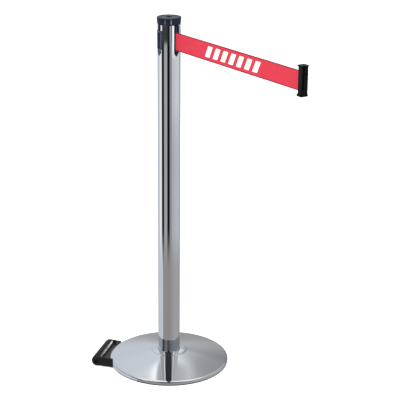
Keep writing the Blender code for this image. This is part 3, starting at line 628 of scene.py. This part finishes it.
def turned_shape(profile, steps, ring=False):
    """Turns (radius, height) pairs in millimetres about the local Z."""
    shape = bmesh.new()
    circles = []
    for radius, height in profile:
        if radius < ON_AXIS:
            circles.append([shape.verts.new((0, 0, height * MM))] * steps)
            continue
        angles = [2 * math.pi * i / steps for i in range(steps)]
        points = [(radius * math.cos(a), radius * math.sin(a), height) for a in angles]
        circles.append([shape.verts.new(Vector(point) * MM) for point in points])
    pairs = list(zip(circles, circles[1:]))
    if ring:
        pairs.append((circles[-1], circles[0]))
    for upper, lower in pairs:
        for i in range(steps):
            j = (i + 1) % steps
            corners = [lower[i], lower[j], upper[j], upper[i]]
            shape.faces.new(list(dict.fromkeys(corners)))
    return shape


def prism_shape(outline, low, high):
    """A flat outline in the local XY plane, thick from one local height to the other."""
    shape = bmesh.new()
    rings = [[shape.verts.new((x * MM, y * MM, z * MM)) for x, y in outline] for z in (low, high)]
    shape.faces.new(rings[0][::-1])
    shape.faces.new(rings[1])
    for i in range(len(outline)):
        j = (i + 1) % len(outline)
        shape.faces.new([rings[0][i], rings[0][j], rings[1][j], rings[1][i]])
    return shape


def block_shape(low, high):
    """A box between its lowest and highest corner."""
    (left, front, bottom), (right, back, top) = low, high
    return prism_shape([(left, front), (right, front), (right, back), (left, back)], bottom, top)


def finished(obj):
    """Applies an object's modifiers."""
    bpy.context.view_layer.update()
    graph = bpy.context.evaluated_depsgraph_get()
    mesh = bpy.data.meshes.new_from_object(obj.evaluated_get(graph))
    obj.modifiers.clear()
    old, obj.data = obj.data, mesh
    bpy.data.meshes.remove(old)


def cut(obj, tools):
    """Cuts shapes, each already in place, out of an object."""
    made = []
    for shape in tools:
        tool = new_piece(f"{obj.name}_tool", shape, obj.data.materials[0])
        made.append(tool)
        modifier = obj.modifiers.new("cut", "BOOLEAN")
        modifier.operation = "DIFFERENCE"
        modifier.object = tool
    finished(obj)
    for tool in made:
        bpy.data.objects.remove(tool)
    return obj


def placed(shape, place):
    """Moves a bmesh to its place and gives it back."""
    shape.transform(place)
    return shape


def settle(obj, body, slot, *nodes):
    """Puts a finished piece in the model: what it rides on and the CAD nodes it stands for. Its finish, the slot,
    is not used.
    """
    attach(obj, body)
    if nodes:
        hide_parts(*nodes)
    return obj


# For a refined copy of a CAD node: how near points are made one, in metres, and three bends in degrees. Up to
# the first a face's triangles are joined, over the second an edge is rounded, over the third it looks sharp.
MERGE_REACH = 0.000002
FLAT_WITHIN = 0.6
ROUND_OVER = 38
SHARP_OVER = 48


def refined(node, body, slot, material, width=0.3, segments=2):
    """A copy of a CAD node with whole flat faces and rounded edges."""
    shape = bmesh.new()
    shape.from_mesh(NODES[node].data)
    bmesh.ops.remove_doubles(shape, verts=shape.verts, dist=MERGE_REACH)
    bmesh.ops.dissolve_limit(
        shape,
        angle_limit=math.radians(FLAT_WITHIN),
        verts=shape.verts,
        edges=shape.edges,
        use_dissolve_boundaries=False,
    )
    obj = new_piece(f"{node}_shell", shape, material)
    edges = obj.modifiers.new("rounded_edges", "BEVEL")
    edges.width = width * MM
    edges.segments = segments
    edges.limit_method = "ANGLE"
    edges.angle_limit = math.radians(ROUND_OVER)
    edges.use_clamp_overlap = True
    finished(obj)
    obj.data.shade_smooth()
    obj.data.set_sharp_from_angle(angle=math.radians(SHARP_OVER))
    return settle(obj, body, slot, node)


# Base -----------------------------------------------------------------------------------------------------


def cover_profile():
    """The cover's outer side, from the lip round the post out to the lower edge of its rim."""
    rim_radius = BASE_RADIUS - RIM_ROUND
    slope_low = RIM_TOP + 0.4
    slope = []
    slope_steps = 28
    for i in range(1, slope_steps + 1):
        share = i / slope_steps
        radius = HUB_RADIUS + (rim_radius - HUB_RADIUS) * share
        height = SLOPE_TOP + (slope_low - SLOPE_TOP) * share + 4 * SLOPE_BULGE * share * (1 - share)
        slope.append((radius, height, 0))
    lip = POST_RADIUS + 0.45
    top = COVER_HIGH.z
    hub_edge = [(HUB_RADIUS - 1.0, SLOPE_TOP + HUB_RISE, 0.5), (HUB_RADIUS, SLOPE_TOP, 0.3)]
    hub = [(lip, top - COVER_SHEET, 0), (lip, top, 0.7), *hub_edge]
    rim = arc((rim_radius, RIM_TOP - RIM_ROUND), RIM_ROUND, start=72, end=0, steps=10)
    rim_edge = (BASE_RADIUS, PAD_THICK + 0.4)
    return rounded(hub + slope, closed=False) + rim + [rim_edge]


def screw_places():
    """Frames at the two bracket screws, with local +Z pointing outwards."""
    outwards = Matrix.Rotation(math.radians(90), 4, "Y")
    for offset in BRACKET_SCREW_OFFSETS:
        yield turn_about_z(ROLLER_AZIMUTH) @ shift(y=offset, z=BRACKET_SCREW_HEIGHT) @ outwards


def make_cover(chrome):
    """The spun cover, drilled for the two bracket screws."""
    cover = new_piece("cover_plate", turned_shape(cover_profile(), 256), chrome)
    sheet = cover.modifiers.new("sheet", "SOLIDIFY")
    sheet.thickness = COVER_SHEET * MM
    sheet.offset = -1.0
    finished(cover)
    drill, near, far = 2.3, 140, 190
    hole = [(0, far), (drill, far), (drill, near), (0, near)]
    cut(cover, [placed(turned_shape(hole, 24), place) for place in screw_places()])
    cover.data.set_sharp_from_angle(angle=math.radians(SHARP_BEND))
    settle(cover, "stand", "chrome", "base_cover")


def make_foot(rubber):
    """The pad under the base, with a rounded edge and a groove round its underside."""
    edge = 1.6
    foot = BASE_RADIUS - 1.0 - edge
    deep = 0.8
    groove = [(foot - 6, 0, 0.3), (foot - 6.6, deep, 0.3), (foot - 8.4, deep, 0.3), (foot - 9, 0, 0.3)]
    inwards = (40, 0, 0)
    under = rounded([(foot, 0, 0), *groove, inwards], closed=False, steps=2)[1:-1]
    side = arc((foot, edge), edge, start=90, end=-90, steps=10)
    profile = [(0, PAD_HIGH.z), *side, *under, (0, 0)]
    pad = new_piece("rubber_foot", turned_shape(profile, 192), rubber)
    settle(pad, "stand", "rubber", "floor_pad")


# Roller ---------------------------------------------------------------------------------------------------


def roller_place():
    """The roller's frame, with local +Z along its axis."""
    axis = Vector(ROLLER_JOINT["axis"])
    return Matrix.Translation(ROLLER_JOINT["pos_m"]) @ axis.to_track_quat("Z", "X").to_matrix().to_4x4()


def make_tyre(rubber):
    """The roller's rubber sleeve, with the mould's parting line as a fine groove round its middle."""
    half, radius, edge = ROLLER_HALF, ROLLER_RADIUS, 1.2
    bore, bore_edge = 10.0, 0.4
    seam_half, seam_deep = 0.45, 0.12
    corners = [
        (bore, half, bore_edge),
        (radius, half, edge),
        (radius, seam_half, 0.1),
        (radius - seam_deep, 0, 0),
        (radius, -seam_half, 0.1),
        (radius, -half, edge),
        (bore, -half, bore_edge),
    ]
    sleeve = turned_shape(rounded(corners, steps=5), 96, ring=True)
    tyre = new_piece("roller_sleeve", sleeve, rubber, roller_place())
    return settle(tyre, "tipping_roller", "rubber", "roller_tyre")


def make_roller(rubber, plastic, steel):
    """The tyre and its bracket, lit by their own lamp and left out of the chrome's mirror, and two screws."""
    tyre = make_tyre(rubber)
    bracket = refined("roller_bracket", "stand", "black_plastic", plastic, 0.7, 3)
    inside = ("roller_hub_1", "roller_hub_2", "roller_axle", "axle_clip_1", "axle_clip_2")
    for piece in (tyre, bracket, *(NODES[name] for name in inside)):
        piece.visible_glossy = False
    glint = add_light(
        "roller_glint",
        around_post(bearing=146, distance=3.0, height=0.98),
        size=(1.3, 0.42),
        power=60,
        target=tuple(ROLLER_JOINT["pos_m"]),
        in_mirror=True,
        colour=(1.0, 0.9, 0.9),
    )
    light_only(glint, tyre, bracket)
    for number, place in enumerate(screw_places()):
        name = f"bracket_screw_{number + 1}"
        screw = make_screw(
            f"{name}_steel",
            steel,
            place,
            radius=2.0,
            low=146.0,
            seat=BRACKET_FACE + GAP,
            head_radius=3.2,
            head_height=1.0,
        )
        settle(screw, "stand", "steel", name)


def make_screw(name, steel, place, radius, low, seat, head_radius, head_height):
    """A pan-head screw with a cross recess. Its head stands on the seat, along the local Z."""
    top = seat + head_height
    corners = [
        (0, top, 0),
        (head_radius, top - head_height * 0.12, head_height * 0.45),
        (head_radius, seat, head_height * 0.1),
        (radius, seat, 0),
        (radius, low + radius * 0.5, 0),
        (radius * 0.6, low, 0),
        (0, low, 0),
    ]
    screw = new_piece(name, turned_shape(rounded(corners, closed=False), 48), steel, place)
    reach, wide, deep = head_radius * 0.62, head_radius * 0.16, head_height * 0.6
    across = (-reach, -wide, top - deep), (reach, wide, top + 1)
    along = (-wide, -reach, top - deep), (wide, reach, top + 1)
    return cut(screw, [placed(block_shape(*across), place), placed(block_shape(*along), place)])


# Post -----------------------------------------------------------------------------------------------------


def slot_tool(azimuth, centre):
    """A slot that is open at the top and ends below in a point, cut outwards along its azimuth."""
    above = POST_HIGH.z + 10
    within_post, past_post = 20, 40
    outline = [
        (centre - SLOT_HALF, above, 0),
        (centre - SLOT_HALF, SLOT_SHOULDER, 1.0),
        (centre, SLOT_TIP, 0.8),
        (centre + SLOT_HALF, SLOT_SHOULDER, 1.0),
        (centre + SLOT_HALF, above, 0),
    ]
    # Stands the outline up across the post's side: its X runs along +Y, its Y up, and its height outwards
    stand_up = Matrix(((0, 0, 1, 0), (1, 0, 0, 0), (0, 1, 0, 0), (0, 0, 0, 1)))
    tool = prism_shape(rounded(outline, closed=False, steps=3), within_post, past_post)
    return placed(tool, turn_about_z(azimuth) @ stand_up)


def make_post(chrome):
    """The tube, with a slot for the belt's outlet and one for each receiver."""
    inner = POST_RADIUS - POST_WALL
    corners = [
        (inner, POST_HIGH.z, 0.25),
        (POST_RADIUS, POST_HIGH.z, 0.4),
        (POST_RADIUS, POST_LOW.z, 0.4),
        (inner, POST_LOW.z, 0.25),
    ]
    post = new_piece("post_shell", turned_shape(rounded(corners, steps=3), 256, ring=True), chrome)
    cut(post, [slot_tool(azimuth, centre) for azimuth, centre in SLOTS])
    round_normals(post.data)
    settle(post, "stand", "chrome", "post_tube")


# How nearly a face looks straight out from the axis, or in to it, to be part of the tube's wall: a cosine
WALL_FACING = 0.995


def round_normals(mesh):
    """Gives the tube's inner and outer walls the normals of a true cylinder, whatever the cuts left."""
    normals = []
    for face in mesh.polygons:
        flat = face.normal
        for index in face.loop_indices:
            point = mesh.vertices[mesh.loops[index].vertex_index].co
            spoke = Vector((point.x, point.y, 0)).normalized()
            facing = flat.dot(spoke)
            is_wall = abs(facing) > WALL_FACING
            normals.append(spoke * math.copysign(1, facing) if is_wall else flat)
    mesh.normals_split_custom_set([tuple(n) for n in normals])


# Head -----------------------------------------------------------------------------------------------------


def make_cap(plastic):
    """The cap: a crown on the post, a recess for the disc, a plug in the tube and a boss for the screw."""
    recess_radius = DISC_HIGH.x + 0.4
    top = CAP_HIGH.z
    recess = top - 1.5
    low = POST_HIGH.z + GAP
    plug = POST_RADIUS - 1.85
    hollow, hollow_top = 27.5, 1009.0
    boss, boss_low = 5.0, 993.3
    well, drill = 5.2, 2.35
    corners = [
        (well, recess, 0.3),
        (recess_radius, recess, 0.3),
        (recess_radius, top, 0.35),
        (CAP_RADIUS, top, 1.4),
        (CAP_RADIUS - 1.2, low + 3.0, 0.8),
        (CAP_RADIUS - 1.9, low, 0.5),
        (plug, low, 0.2),
        (plug, CAP_LOW.z, 0.6),
        (hollow, CAP_LOW.z, 0.3),
        (hollow, hollow_top, 0.8),
        (boss, hollow_top, 0.4),
        (boss, boss_low, 0),
        (drill, boss_low, 0),
        (drill, CAP_WELL, 0.2),
        (well, CAP_WELL, 0.2),
    ]
    cap = new_piece("cap_moulding", turned_shape(rounded(corners, steps=5), 160, ring=True), plastic)
    tools = []
    for azimuth, centre in SLOTS:
        low_corner = (LINER_BACK - 0.6, centre - SLOT_HALF - GAP, CAP_LOW.z - 5)
        high_corner = (40, centre + SLOT_HALF + GAP, POST_HIGH.z)
        tools.append(placed(block_shape(low_corner, high_corner), turn_about_z(azimuth)))
    cut(cap, tools)
    cap.data.set_sharp_from_angle(angle=math.radians(SHARP_BEND))
    return settle(cap, "stand", "black_plastic", "head_cap")


def make_disc(plastic):
    """The disc in the cap's top, with a hole over the screw's well and a fine groove near its edge."""
    radius = DISC_HIGH.x
    hole = 8.6
    groove = 0.3
    corners = [
        (hole, DISC_HIGH.z, 0.25),
        (radius - 4.0, DISC_HIGH.z, 0.08),
        (radius - 3.7, DISC_HIGH.z - groove, 0),
        (radius - 3.3, DISC_HIGH.z - groove, 0),
        (radius - 3.0, DISC_HIGH.z, 0.08),
        (radius, DISC_HIGH.z, 0.3),
        (radius, DISC_LOW.z, 0.1),
        (hole, DISC_LOW.z, 0.1),
    ]
    disc = new_piece("cap_insert", turned_shape(rounded(corners, steps=3), 128, ring=True), plastic)
    return settle(disc, "stand", "grey_plastic", "cap_disc")


def make_cap_screw(steel):
    """The screw that holds the cap, down in its well."""
    low, high = extent("cap_screw")
    seat = CAP_WELL + GAP
    screw = make_screw(
        "cap_screw_steel",
        steel,
        Matrix(),
        radius=2.0,
        low=low.z,
        seat=seat,
        head_radius=high.x,
        head_height=high.z - seat,
    )
    settle(screw, "stand", "steel", "cap_screw")


# The two highlights on the cap's side, as bearing and watts
CAP_GLINTS = ((-37, 3.0), (21, 5.6))


def light_cap(cap, disc):
    """Tall narrow lamps that light only the cap and its disc."""
    for number, (bearing, power) in enumerate(CAP_GLINTS):
        glint = add_light(
            f"cap_glint_{number}",
            around_post(bearing, distance=1.2, height=0.62),
            size=(0.07, 0.3),
            power=power,
            target=CAP_TOP,
            in_mirror=True,
        )
        light_only(glint, cap, disc)


# Belt -----------------------------------------------------------------------------------------------------


def strip_shape(path, section):
    """Sweeps a closed section of (out from the path, height) points along a path in the XY plane."""
    shape = bmesh.new()
    rings = []
    for i, here in enumerate(path):
        ahead = Vector(path[min(i + 1, len(path) - 1)]) - Vector(path[max(i - 1, 0)])
        left = Vector((-ahead.y, ahead.x)).normalized()
        points = [(here[0] + left.x * out, here[1] + left.y * out, z) for out, z in section]
        rings.append([shape.verts.new(Vector(point) * MM) for point in points])
    for ring, after in zip(rings, rings[1:]):
        for i in range(len(section)):
            j = (i + 1) % len(section)
            shape.faces.new([ring[i], ring[j], after[j], after[i]])
    shape.faces.new(rings[0][::-1])
    shape.faces.new(rings[-1])
    return shape


def webbing_section(low, high, thick, columns):
    """A flat section whose two edges are rounded and slightly fuller, as woven selvedges are."""
    half = thick / 2
    full = half * 1.12
    edge = half * 0.55
    bead, hem = 1.6, 2.4
    bottom = [(edge, low), (full, low + half), (full, low + bead), (half, low + hem)]
    top = [(half, high - hem), (full, high - bead), (full, high - half), (edge, high)]
    middle = [(half, low + hem + (high - low - 2 * hem) * i / columns) for i in range(1, columns)]
    front = bottom + middle + top
    return front + [(-out, z) for out, z in reversed(front)]


def ripple(x):
    """How far the open webbing strays to the side, in millimetres."""
    return 0.22 * math.sin(x / 31.0) + 0.12 * math.sin(x / 11.3 + 1.0)


def belt_path():
    """The belt's line: off the coil, round the guide roller, straight out, and round the clip's pin."""
    coil_track = COIL_HIGH.x + GAP + BELT_THICK / 2
    guide = ((GUIDE_LOW.x + GUIDE_HIGH.x) / 2, (GUIDE_LOW.y + GUIDE_HIGH.y) / 2)
    guide_track = guide[1]
    pin_x = (CLIP_PIN_LOW.x + CLIP_PIN_HIGH.x) / 2
    pin_track = (CLIP_PIN_HIGH.x - CLIP_PIN_LOW.x) / 2 + GAP + BELT_THICK / 2
    bearing = math.degrees(math.atan2(guide[1], guide[0]))
    crossing = math.degrees(math.acos((coil_track + guide_track) / math.hypot(*guide)))
    leaves = bearing + crossing
    on_coil = 24
    straight_start, straight_end = guide[0], pin_x - 6.5
    steps = 150
    ease_rate = 12
    path = arc((0, 0), coil_track, start=leaves + on_coil, end=leaves, steps=10)
    path += arc(guide, guide_track, start=leaves + 180, end=270, steps=24)
    for i in range(1, steps + 1):
        share = i / steps
        x = straight_start + (straight_end - straight_start) * share
        ease = min(1.0, ease_rate * share, ease_rate * (1 - share))
        path.append((x, ease * ripple(x)))
    path += arc((pin_x, 0.0), pin_track, start=150, end=-140, steps=30)
    return path, straight_start, straight_end


def make_belt(material):
    """The drawn-out webbing, one end on the stand and the other on the clip."""
    path, start, end = belt_path()
    section = webbing_section(BELT_LOW.z, BELT_HIGH.z, BELT_THICK, columns=12)
    belt = new_piece("belt_strip", strip_shape(path, section), material, sharp=60)
    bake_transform(belt)
    # Weights that run evenly from 0 where the straight stretch starts to 1 where it ends
    share = np.array([vertex.co.x / MM for vertex in belt.data.vertices])
    share = np.clip((share - start) / (end - start), 0, 1).astype(np.float32)
    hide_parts("belt_webbing")
    belt.visible_glossy = False


def make_coil(material):
    """The webbing still on the reel, as one spiral strip."""
    pitch, thick = 0.52, 0.48
    inner = COIL_HIGH.x - COIL_WIDE + thick / 2
    outer = COIL_HIGH.x - thick / 2
    turns = (outer - inner) / pitch
    steps_per_turn = 40
    steps = math.ceil(turns * steps_per_turn)
    spiral = []
    for i in range(steps + 1):
        radius = inner + (outer - inner) * i / steps
        angle = 2 * math.pi * turns * i / steps
        spiral.append((radius * math.cos(angle), radius * math.sin(angle)))
    half = thick / 2
    section = [(half, COIL_LOW.z), (half, COIL_HIGH.z), (-half, COIL_HIGH.z), (-half, COIL_LOW.z)]
    coil = new_piece("belt_winding", strip_shape(spiral, section), material)
    settle(coil, "reel", "webbing", "belt_coil")


# Clip -----------------------------------------------------------------------------------------------------


def make_clip(plastic, steel):
    """The clip's two halves, and the screws that hold them together from one side."""
    for name in ("clip_left", "clip_right"):
        refined(name, "belt_end", "black_plastic", plastic, 0.5, 3)
    sideways = Matrix.Rotation(math.radians(-90), 4, "X")
    head_height = 1.1
    for name in ("clip_screw_lower", "clip_screw_upper"):
        low, high = extent(name)
        middle = (low + high) / 2
        screw = make_screw(
            f"{name}_steel",
            steel,
            shift(middle.x, 0, middle.z) @ sideways,
            radius=0.8,
            low=low.y,
            seat=high.y - head_height,
            head_radius=(high.x - low.x) / 2,
            head_height=head_height,
        )
        settle(screw, "belt_end", "steel", name)


# All of it ------------------------------------------------------------------------------------------------

make_camera()
make_studio()

# How a metal's fine lines run, as the stretch of each axis: the same every way, or finer up and down
EVEN = (1.0, 1.0, 1.0)
ACROSS = (1.0, 1.0, 4.0)

CHROME = chrome_material()
IRON = casting_material()
ZINC = metal_material("zinc_steel", (0.42, 0.43, 0.46), (0.58, 0.58, 0.60), 0.32)
BLACK_STEEL = metal_material("black_oxide_steel", (0.012, 0.012, 0.013), (0.03, 0.028, 0.028), 0.36)
SPRING_STEEL = metal_material("spring_steel", (0.20, 0.22, 0.28), (0.33, 0.35, 0.40), 0.24, 300.0, ACROSS)
BRASS = metal_material("sintered_brass", (0.50, 0.35, 0.13), (0.66, 0.48, 0.20), 0.4, 1200.0, EVEN)
FOOT_RUBBER = rubber_material("foot_rubber", (0.012, 0.012, 0.012), 0.62)
ROLLER_RUBBER = rubber_material("roller_rubber", (0.002, 0.0015, 0.0017), 0.29, depth=0.000003, specular=0.16)
HEAD_PLASTIC = plastic_material("head_plastic", (0.006, 0.0085, 0.016), 0.17, specular=0.2, bend=1.36)
RECEIVER_PLASTIC = plastic_material("receiver_plastic", (0.026, 0.031, 0.056), 0.24)
CLIP_PLASTIC = plastic_material("clip_plastic", (0.0016, 0.0016, 0.0018), 0.3, specular=0.16)
COARSE = {"grain": 520.0, "depth": 0.0002}
ROLLER_PLASTIC = plastic_material("bracket_plastic", (0.0075, 0.0066, 0.0066), 0.34, specular=0.3, **COARSE)
INNER_PLASTIC = plastic_material("inner_plastic", (0.02, 0.021, 0.024), 0.42)
DISC_PLASTIC = plastic_material("disc_plastic", (0.026, 0.030, 0.038), 0.2, specular=0.2, bend=1.28)
NYLON = plastic_material("natural_nylon", (0.50, 0.49, 0.44), 0.4)
DARK_NYLON = plastic_material("graphite_nylon", (0.022, 0.024, 0.028), 0.4)
WEBBING = webbing_material("printed_webbing", True)
COIL_WEBBING = webbing_material("wound_webbing", False)

# What the CAD solids that are shown as they are look like: by slot, and by name where one differs
SLOT_LOOKS = {
    "chrome": CHROME,
    "cast_iron": IRON,
    "steel": ZINC,
    "brass": BRASS,
    "rubber": FOOT_RUBBER,
    "black_plastic": INNER_PLASTIC,
    "grey_plastic": DISC_PLASTIC,
    "nylon": NYLON,
    "webbing": COIL_WEBBING,
}
NODE_LOOKS = {
    "roller_axle": BLACK_STEEL,
    "axle_clip_1": BLACK_STEEL,
    "axle_clip_2": BLACK_STEEL,
    "power_spring": SPRING_STEEL,
    "guide_roller": DARK_NYLON,
    "roller_hub_1": ROLLER_PLASTIC,
    "roller_hub_2": ROLLER_PLASTIC,
}
for subpart in frame["record"]["subparts"]:
    node = subpart["node"]
    NODES[node].data.materials.clear()
    NODES[node].data.materials.append(NODE_LOOKS.get(node, SLOT_LOOKS[subpart["material_slot"]]))

make_cover(CHROME)
make_foot(FOOT_RUBBER)
make_roller(ROLLER_RUBBER, ROLLER_PLASTIC, BLACK_STEEL)
make_post(CHROME)
for head_node in ("receiver_right", "receiver_back", "receiver_left"):
    refined(head_node, "stand", "black_plastic", RECEIVER_PLASTIC)
refined("belt_outlet", "stand", "black_plastic", HEAD_PLASTIC)
top_cap = make_cap(HEAD_PLASTIC)
top_disc = make_disc(DISC_PLASTIC)
make_cap_screw(BLACK_STEEL)
light_cap(top_cap, top_disc)
make_belt(WEBBING)
make_coil(COIL_WEBBING)
make_clip(CLIP_PLASTIC, BLACK_STEEL)

bpy.context.scene.view_settings.view_transform = "Standard"
